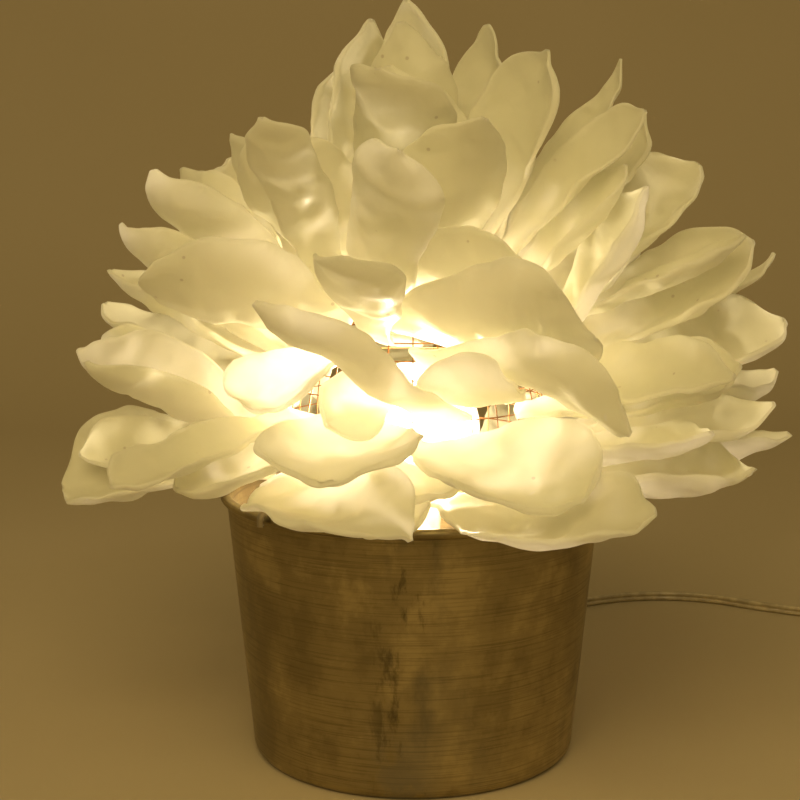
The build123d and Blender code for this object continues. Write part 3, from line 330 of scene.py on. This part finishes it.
def pot_finish(colours):
    """Spun metal: fine lines round it, cloudy olive tarnish, bright and dark blotches that are painted
    highlights and painted reflections, grey smears and a few dark runs.
    """
    colour = tuple(colours.pot)
    finish = Finish("tarnished pot", {"Metallic": 1.0})
    lines = finish.noise(20.0, 9.0, (1, 1, 60), 0.72)
    scores = finish.noise(9.0, 6.0, (1, 1, 130), 0.7).between(0.62, 0.72)
    patch = finish.noise(9.0, 3.0)
    mottle = finish.noise(42.0, 6.0, (1, 1, 0.8), 0.62)
    smear = finish.noise(26.0, 5.0, (1.5, 1.5, 0.6)).between(0.54, 0.74)
    spots = finish.noise(80.0, 5.0, (1.4, 1.4, 0.5), 0.68).between(0.54, 0.70)
    across = finish.node("ShaderNodeSeparateXYZ", {}, {"Vector": finish.place()}, "X")
    up = finish.node("ShaderNodeSeparateXYZ", {}, {"Vector": finish.place()}, "Z")
    off_run = across - STAIN_X
    run = 1 - off_run.math("ABSOLUTE", off_run).between(STAIN_NEAR, STAIN_FAR)
    foot = 1 - up.between(STAIN_LOW, STAIN_HIGH)
    body = finish.blend(patch.between(0.3, 0.7), tint(colour, 0.80), tint(colour, 1.12))
    # Painted highlights and painted reflections: the mottle's bright blotches lighten the metal and its
    # dark blotches darken it
    body = finish.blend(mottle.between(0.50, 0.64) * 0.45, body, tint(colour, 1.6))
    body = finish.blend((1 - mottle.between(0.36, 0.50)) * 0.45, body, tint(colour, 0.45))
    body = finish.blend(lines.between(0.46, 0.66) * 0.6, body, tint(colour, 0.45))
    body = finish.blend(scores * 0.5, body, tint(colour, 0.4))
    body = finish.blend(smear * (0.3 + run * 0.5), body, (0.13, 0.125, 0.10))
    body = finish.blend(mottle.between(0.40, 0.56) * run * foot * 0.6, body, (0.19, 0.18, 0.15))
    body = finish.blend(spots * run * 0.6, body, (0.035, 0.03, 0.02))
    finish.set({"Base Color": body, "Roughness": 0.34 + patch * 0.10 + mottle * 0.12})
    finish.bump(lines + scores * 0.3, 0.00012, 0.4)
    return finish.material


def copper_finish(colours):
    """Drawn copper wire, dulled in patches."""
    colour = tuple(colours.copper)
    finish = Finish("copper wire", {"Metallic": 1.0})
    dull = finish.noise(140.0)
    finish.set({
        "Base Color": finish.blend(dull.between(0.4, 0.7), colour, tint(colour, 0.5)),
        "Roughness": 0.25 + dull * 0.3,
    })
    finish.bump(finish.noise(900.0), 0.00003)
    return finish.material


def cord_finish(colours):
    """Clear gold cord: faint strands under a smooth clear cover."""
    colour = tuple(colours.cord)
    finish = Finish("clear gold cord", {"Coat Weight": 0.6, "Coat Roughness": 0.12})
    strand = finish.noise(160.0, 2.0)
    finish.set({
        "Base Color": finish.blend(strand.between(0.3, 0.7), tint(colour, 0.8), tint(colour, 1.15)),
        "Roughness": 0.35 + strand * 0.15,
    })
    finish.bump(finish.noise(500.0), 0.00003, 0.3)
    return finish.material


def bulb_glass_finish():
    """Clear thin glass that lets the light straight through."""
    finish = Finish("bulb glass", {"Roughness": 0.04, "Base Color": (1.0, 0.95, 0.85)})
    smear = finish.noise(40.0)
    finish.set({"Alpha": 0.08 + smear * 0.10})
    return finish.material


def glow_finish(name, colour, strength):
    """A glowing filament, brighter and dimmer along its wire."""
    finish = Finish(name, {"Base Color": colour, "Roughness": 0.5, "Emission Strength": strength})
    uneven = finish.noise(300.0)
    finish.set({"Emission Color": finish.blend(uneven, tint(colour, 0.8), colour)})
    return finish.material


def floor_finish(colours):
    """Plain pale floor with a trace of unevenness."""
    colour = tuple(colours.floor)
    finish = Finish("pale floor", {"Roughness": 0.75})
    uneven = finish.noise(3.0)
    finish.set({"Base Color": finish.blend(uneven, tint(colour, 0.96), colour)})
    return finish.material


# Pieces


def only(piece):
    """Select one piece and nothing else."""
    bpy.ops.object.select_all(action="DESELECT")
    piece.select_set(True)
    bpy.context.view_layer.objects.active = piece


def dress(piece, material):
    piece.data.materials.clear()
    piece.data.materials.append(material)


def finish_nodes(material, *names):
    """Give CAD nodes that stay in view their finish, smooth where they are round."""
    for name in names:
        node = NODES[name]
        only(node)
        bpy.ops.object.shade_smooth_by_angle(angle=radians(32))
        dress(node, material)


def merged_copy(node, name):
    """A copy of a CAD node's mesh with its triangles joined up."""
    piece = bpy.data.objects.new(name, NODES[node].data.copy())
    bpy.context.scene.collection.objects.link(piece)
    only(piece)
    bpy.ops.object.mode_set(mode="EDIT")
    bpy.ops.mesh.select_all(action="SELECT")
    bpy.ops.mesh.remove_doubles(threshold=MERGE_DISTANCE)
    bpy.ops.object.mode_set(mode="OBJECT")
    return piece


def apply_modifier(piece, kind, **settings):
    """Add a modifier, set it and apply it."""
    only(piece)
    modifier = piece.modifiers.new(kind.lower(), kind)
    for name, value in settings.items():
        setattr(modifier, name, value)
    bpy.ops.object.modifier_apply(modifier=modifier.name)


def settle(piece, body, slot, *nodes):
    """Tie a finished piece to its body and hide the nodes that it stands for; the slot is not used."""
    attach(piece, body)
    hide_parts(*nodes)


def route_curve(name, points):
    """A smooth open spline with the route's points as its control points."""
    curve = bpy.data.curves.new(name, "CURVE")
    curve.dimensions = "3D"
    curve.twist_mode = "Z_UP"
    curve.resolution_u = 8
    spline = curve.splines.new("NURBS")
    spline.points.add(len(points) - 1)
    for point, place in zip(spline.points, points):
        point.co = (*place, 1.0)
    spline.order_u = 3
    spline.use_endpoint_u = True
    piece = bpy.data.objects.new(name, curve)
    bpy.context.scene.collection.objects.link(piece)
    return piece


def line_points(piece):
    """Points along a curve that has no bevel yet."""
    bpy.context.view_layer.update()
    mesh = bpy.data.meshes.new_from_object(piece)
    points = [tuple(vertex.co) for vertex in mesh.vertices]
    bpy.data.meshes.remove(mesh)
    return points


def twin_section(sizes):
    """The cord's section: two round conductors side by side with a web between."""
    half = sizes.cord_thickness / 2
    apart = sizes.cord_width / 2 - half
    curve = bpy.data.curves.new("twin section", "CURVE")
    spline = curve.splines.new("POLY")
    places = []
    for centre, start in ((apart, -90 + SECTION_WAIST), (-apart, 90 + SECTION_WAIST)):
        for step in range(SECTION_STEPS + 1):
            angle = radians(start + (360 - 2 * SECTION_WAIST) * step / SECTION_STEPS)
            places.append((half * cos(angle), centre + half * sin(angle), 0.0))
    spline.points.add(len(places) - 1)
    for point, place in zip(spline.points, places):
        point.co = (*place, 1.0)
    spline.use_cyclic_u = True
    section = bpy.data.objects.new("twin section", curve)
    bpy.context.scene.collection.objects.link(section)
    return section


def twin_cord(name, points, sizes):
    """Sweep the twin section along a route. Gives the mesh and the points that it follows."""
    piece = route_curve(name, points)
    path = line_points(piece)
    section = twin_section(sizes)
    piece.data.bevel_mode = "OBJECT"
    piece.data.bevel_object = section
    piece.data.use_fill_caps = True
    only(piece)
    bpy.ops.object.convert(target="MESH")
    piece = bpy.context.view_layer.objects.active
    curve = section.data
    bpy.data.objects.remove(section)
    bpy.data.curves.remove(curve)
    bpy.ops.object.shade_smooth_by_angle(angle=radians(40))
    return piece, path


def coil_route():
    """Straight from the switch, spiralling in, up a layer and out again, then to the plug."""
    x, y = COIL_SWITCH_END
    lower = [COIL_INNER_TURN + COIL_STEP * i for i in reversed(range(COIL_HALF_TURNS))]
    upper = [COIL_INNER_TURN + COIL_STEP * i for i in range(COIL_HALF_TURNS - 1)]
    turns = [(radius, COIL_LOW, COIL_LOW) for radius in lower]
    turns.append((COIL_INNER_TURN - COIL_STEP, COIL_LOW, COIL_HIGH))
    turns += [(radius, COIL_HIGH, COIL_HIGH) for radius in upper]
    points = [(x, y, COIL_LOW), (x, (y + COIL_START_Y) / 2, COIL_LOW)]
    side = 1
    for radius, low, high in turns:
        centre = x - side * radius
        for step in range(COIL_POINTS):
            share = (step + 0.5) / COIL_POINTS
            angle = pi * share
            points.append((
                centre + side * radius * cos(angle),
                COIL_START_Y - side * radius * sin(angle),
                low + (high - low) * share,
            ))
        x = centre - side * radius
        side = -side
    points.append((x, (COIL_START_Y + COIL_PLUG_END_Y) / 2, COIL_HIGH))
    points.append((x, COIL_PLUG_END_Y, COIL_HIGH))
    return points


class LAMP_OT_stage(bpy.types.Operator):
    """Pale floor and backdrop, camera, and the lights of the room and the bulb"""

    bl_idname = "lamp.stage"
    bl_label = "Stage"

    def execute(self, context):
        lights = context.scene.lamp_lights
        self.floor(context.scene.lamp_colours)
        camera = bpy.data.cameras.new("camera")
        camera.lens = CAMERA_LENS
        camera.sensor_width = CAMERA_SENSOR
        camera.shift_x = CAMERA_SHIFT
        stand = bpy.data.objects.new("camera", camera)
        stand.location = CAMERA_PLACE
        stand.rotation_euler = (radians(90 - CAMERA_DROP), 0, 0)
        context.scene.collection.objects.link(stand)
        context.scene.camera = stand
        bulb = self.light("bulb light", "POINT", lights.bulb_power, lights.bulb_colour, BULB_CENTRE)
        bulb.data.shadow_soft_size = BULB_LIGHT_RADIUS
        key = self.light("key", "AREA", lights.key_power, lights.room_colour, KEY_PLACE)
        key.data.size = KEY_SIZE
        aim = Vector(KEY_AIM) - key.location
        key.rotation_euler = aim.to_track_quat("-Z", "Y").to_euler()
        world = bpy.data.worlds.new("room")
        world.use_nodes = True
        backdrop = world.node_tree.nodes["Background"]
        backdrop.inputs["Color"].default_value = (*lights.room_colour, 1.0)
        backdrop.inputs["Strength"].default_value = lights.room_strength
        context.scene.world = world
        context.scene.view_settings.view_transform = "Standard"
        return {"FINISHED"}

    def floor(self, colours):
        """A floor that curves up into a backdrop behind the lamp."""
        bpy.ops.object.select_all(action="DESELECT")
        bpy.ops.mesh.primitive_plane_add(size=FLOOR_SIZE, location=FLOOR_MIDDLE)
        floor = bpy.context.active_object
        floor.name = "floor"
        bpy.ops.object.mode_set(mode="EDIT")
        bpy.ops.mesh.select_mode(type="EDGE")
        bpy.ops.mesh.select_all(action="DESELECT")
        bpy.ops.object.mode_set(mode="OBJECT")
        for edge in floor.data.edges:
            edge.select = all(floor.data.vertices[v].co.y > 0 for v in edge.vertices)
        bpy.ops.object.mode_set(mode="EDIT")
        bpy.ops.mesh.extrude_region_move(TRANSFORM_OT_translate={"value": (0, 0, BACKDROP_HEIGHT)})
        bpy.ops.object.mode_set(mode="OBJECT")
        for edge in floor.data.edges:
            ends = [floor.data.vertices[v].co for v in edge.vertices]
            edge.select = all(end.y > 0 and end.z < BACKDROP_HEIGHT / 2 for end in ends)
        bpy.ops.object.mode_set(mode="EDIT")
        bpy.ops.mesh.bevel(offset=BACKDROP_BEND, segments=16)
        bpy.ops.object.mode_set(mode="OBJECT")
        bpy.ops.object.transform_apply(location=True, rotation=False, scale=False)
        bpy.ops.object.shade_smooth()
        dress(floor, floor_finish(colours))

    def light(self, name, kind, power, colour, place):
        lamp = bpy.data.lights.new(name, kind)
        lamp.energy = power
        lamp.color = colour
        stand = bpy.data.objects.new(name, lamp)
        stand.location = place
        bpy.context.scene.collection.objects.link(stand)
        return stand


class LAMP_OT_cord(bpy.types.Operator):
    """Flat twin cord from the strain relief to the switch, and its tied coil to the plug"""

    bl_idname = "lamp.cord"
    bl_label = "Cord"

    def execute(self, context):
        sizes = context.scene.lamp_sizes
        material = cord_finish(context.scene.lamp_colours)
        lead, path = twin_cord("flat_cord_lead", LEAD_ROUTE, sizes)
        dress(lead, material)
        settle(lead, "base", "cord_clear", "cord_lead")
        coil, path = twin_cord("flat_cord_coil", coil_route(), sizes)
        dress(coil, material)
        settle(coil, "base", "cord_clear", "cord_coil")
        finish_nodes(material, "inner_lead")
        finish_nodes(worn("relief rubber", (0.05, 0.045, 0.04), 0.6), "cord_relief")
        finish_nodes(worn("tie strap", (0.05, 0.05, 0.05), 0.5), "coil_tie")
        return {"FINISHED"}


class LAMP_OT_petals(bpy.types.Operator):
    """Frosted petals: the solids' meshes with uneven thickness, and wavy away from the lamp's middle"""

    bl_idname = "lamp.petals"
    bl_label = "Petals"

    def execute(self, context):
        sizes = context.scene.lamp_sizes
        material = petal_finish(context.scene.lamp_colours)
        swell = self.clouds("petal swell", SWELL_GRAIN, 1, "GRAYSCALE")
        warp = self.clouds("petal warp", WARP_GRAIN, 2, "COLOR")
        middle = bpy.data.objects.new("lamp middle", None)
        middle.location = WARP_MIDDLE
        context.scene.collection.objects.link(middle)
        for node in sorted(name for name in NODES if name.startswith("petals_")):
            piece = merged_copy(node, f"frosted_{node}")
            apply_modifier(
                piece, "DISPLACE", texture=swell, texture_coords="LOCAL", strength=sizes.petal_swell,
                mid_level=0.5,
            )
            outer = piece.vertex_groups.new(name="outer")
            outer.add(range(len(piece.data.vertices)), 1.0, "REPLACE")
            apply_modifier(
                piece, "VERTEX_WEIGHT_PROXIMITY", vertex_group="outer", target=middle,
                proximity_mode="OBJECT", min_dist=WARP_NONE, max_dist=WARP_FULL,
            )
            apply_modifier(
                piece, "DISPLACE", texture=warp, texture_coords="LOCAL", direction="RGB_TO_XYZ",
                vertex_group="outer", strength=sizes.petal_warp, mid_level=0.5,
            )
            piece.vertex_groups.clear()
            bpy.ops.object.shade_smooth_by_angle(angle=radians(60))
            dress(piece, material)
            settle(piece, "shade", "petal_resin", node)
        bpy.data.objects.remove(middle)
        return {"FINISHED"}

    def clouds(self, name, scale, depth, kind):
        """A soft noise to displace with."""
        texture = bpy.data.textures.new(name, "CLOUDS")
        texture.noise_scale = scale
        texture.noise_depth = depth
        texture.cloud_type = kind
        return texture


class LAMP_OT_mesh(bpy.types.Operator):
    """Open copper wire mesh in place of the dome's shell, and the finish of its ring and arms"""

    bl_idname = "lamp.mesh"
    bl_label = "Wire mesh"

    def execute(self, context):
        sizes = context.scene.lamp_sizes
        material = copper_finish(context.scene.lamp_colours)
        bpy.ops.object.select_all(action="DESELECT")
        bpy.ops.mesh.primitive_uv_sphere_add(
            segments=sizes.mesh_columns, ring_count=sizes.mesh_rows * 2, radius=1.0
        )
        piece = context.active_object
        piece.name = "wire_mesh"
        bpy.ops.object.mode_set(mode="EDIT")
        bpy.ops.mesh.select_all(action="SELECT")
        bpy.ops.transform.resize(value=(DOME_RADIUS, DOME_RADIUS, DOME_CROWN))
        bpy.ops.transform.translate(value=(0, 0, DOME_CENTRE))
        bpy.ops.mesh.select_all(action="SELECT")
        bpy.ops.mesh.bisect(
            plane_co=(0, 0, DOME_BOTTOM + sizes.mesh_wire), plane_no=(0, 0, 1), clear_inner=True
        )
        bpy.ops.mesh.select_all(action="SELECT")
        bpy.ops.mesh.delete(type="ONLY_FACE")
        bpy.ops.object.mode_set(mode="OBJECT")
        bpy.ops.object.convert(target="CURVE")
        piece = context.view_layer.objects.active
        piece.data.bevel_depth = sizes.mesh_wire / 2
        piece.data.bevel_resolution = 1
        bpy.ops.object.convert(target="MESH")
        piece = context.view_layer.objects.active
        bpy.ops.object.shade_smooth()
        dress(piece, material)
        settle(piece, "shade", "copper_mesh", "mesh_dome")
        brass_wire = worn("dull brass wire", (0.42, 0.36, 0.24), 0.45, metallic=1.0)
        finish_nodes(brass_wire, "base_ring", "rim_arms")
        return {"FINISHED"}


class LAMP_OT_pot(bpy.types.Operator):
    """Finish of the spun pot"""

    bl_idname = "lamp.pot"
    bl_label = "Pot"

    def execute(self, context):
        finish_nodes(pot_finish(context.scene.lamp_colours), "pot")
        return {"FINISHED"}


class LAMP_OT_bulb(bpy.types.Operator):
    """Finishes of the bulb's glass, cap and filament"""

    bl_idname = "lamp.bulb"
    bl_label = "Bulb"

    def execute(self, context):
        glass = bulb_glass_finish()
        finish_nodes(glass, "bulb_globe", "bulb_stem")
        finish_nodes(worn("bulb cap", (0.72, 0.71, 0.68), 0.35, metallic=1.0), "bulb_cap")
        finish_nodes(worn("black glass", (0.02, 0.02, 0.025), 0.15), "bulb_insulator")
        finish_nodes(worn("solder", (0.6, 0.6, 0.58), 0.4, metallic=1.0), "bulb_tip")
        finish_nodes(worn("support wire", (0.45, 0.44, 0.42), 0.4, metallic=1.0), "bulb_supports")
        finish_nodes(glow_finish("filament", (1.0, 0.72, 0.36), 60.0), "bulb_filament")
        return {"FINISHED"}


class LAMP_OT_fittings(bpy.types.Operator):
    """Finishes of the lampholder, pipe, nuts and ballast inside the pot"""

    bl_idname = "lamp.fittings"
    bl_label = "Fittings"

    def execute(self, context):
        brass = worn("lampholder brass", (0.66, 0.50, 0.22), 0.32, metallic=1.0)
        steel = worn("plated steel", (0.60, 0.60, 0.58), 0.38, metallic=1.0)
        finish_nodes(brass, "holder_cap", "holder_shell", "terminal_screws", "centre_contact")
        finish_nodes(steel, "lower_nut", "upper_nut", "cap_nut", "lamp_pipe", "screw_shell")
        finish_nodes(worn("liner card", (0.16, 0.13, 0.10), 0.85), "holder_liner")
        finish_nodes(worn("porcelain", (0.88, 0.87, 0.83), 0.2, coat=0.6), "holder_core")
        iron = worn("cast iron", (0.10, 0.10, 0.10), 0.65, metallic=0.7, grain=250.0, depth=0.0003)
        finish_nodes(iron, "ballast")
        return {"FINISHED"}


class LAMP_OT_switch(bpy.types.Operator):
    """Finishes of the switch and the plug on the cord"""

    bl_idname = "lamp.switch"
    bl_label = "Switch and plug"

    def execute(self, context):
        moulded = worn("gold plastic", (0.46, 0.33, 0.13), 0.3, coat=0.3)
        finish_nodes(moulded, "switch_lower", "switch_upper", "plug_tail", "plug_body")
        finish_nodes(worn("dark wheel", (0.05, 0.045, 0.04), 0.5), "switch_wheel")
        finish_nodes(worn("switch screw", (0.60, 0.60, 0.58), 0.4, metallic=1.0), "switch_screws")
        finish_nodes(worn("plug blade", (0.72, 0.58, 0.30), 0.3, metallic=1.0), "plug_blades")
        return {"FINISHED"}


class LAMP_PT_panel(bpy.types.Panel):
    """Lists the lamp's pieces and their values"""

    bl_idname = "LAMP_PT_panel"
    bl_label = "Flower Lamp"
    bl_space_type = "VIEW_3D"
    bl_region_type = "UI"
    bl_category = "Flower Lamp"

    def draw(self, context):
        for operator in OPERATORS:
            self.layout.operator(operator.bl_idname)
        for group in (context.scene.lamp_sizes, context.scene.lamp_colours, context.scene.lamp_lights):
            for name in group.__annotations__:
                self.layout.prop(group, name)


OPERATORS = (
    LAMP_OT_stage,
    LAMP_OT_cord,
    LAMP_OT_petals,
    LAMP_OT_mesh,
    LAMP_OT_pot,
    LAMP_OT_bulb,
    LAMP_OT_fittings,
    LAMP_OT_switch,
)
CLASSES = (LampSizes, LampColours, LampLights, *OPERATORS, LAMP_PT_panel)


def register():
    for item in CLASSES:
        bpy.utils.register_class(item)
    bpy.types.Scene.lamp_sizes = PointerProperty(type=LampSizes)
    bpy.types.Scene.lamp_colours = PointerProperty(type=LampColours)
    bpy.types.Scene.lamp_lights = PointerProperty(type=LampLights)


def unregister():
    del bpy.types.Scene.lamp_lights
    del bpy.types.Scene.lamp_colours
    del bpy.types.Scene.lamp_sizes
    for item in reversed(CLASSES):
        bpy.utils.unregister_class(item)


def main():
    register()
    bpy.ops.lamp.stage()
    bpy.ops.lamp.cord()
    bpy.ops.lamp.petals()
    bpy.ops.lamp.mesh()
    bpy.ops.lamp.pot()
    bpy.ops.lamp.bulb()
    bpy.ops.lamp.fittings()
    bpy.ops.lamp.switch()


if __name__ == "__main__":
    main()
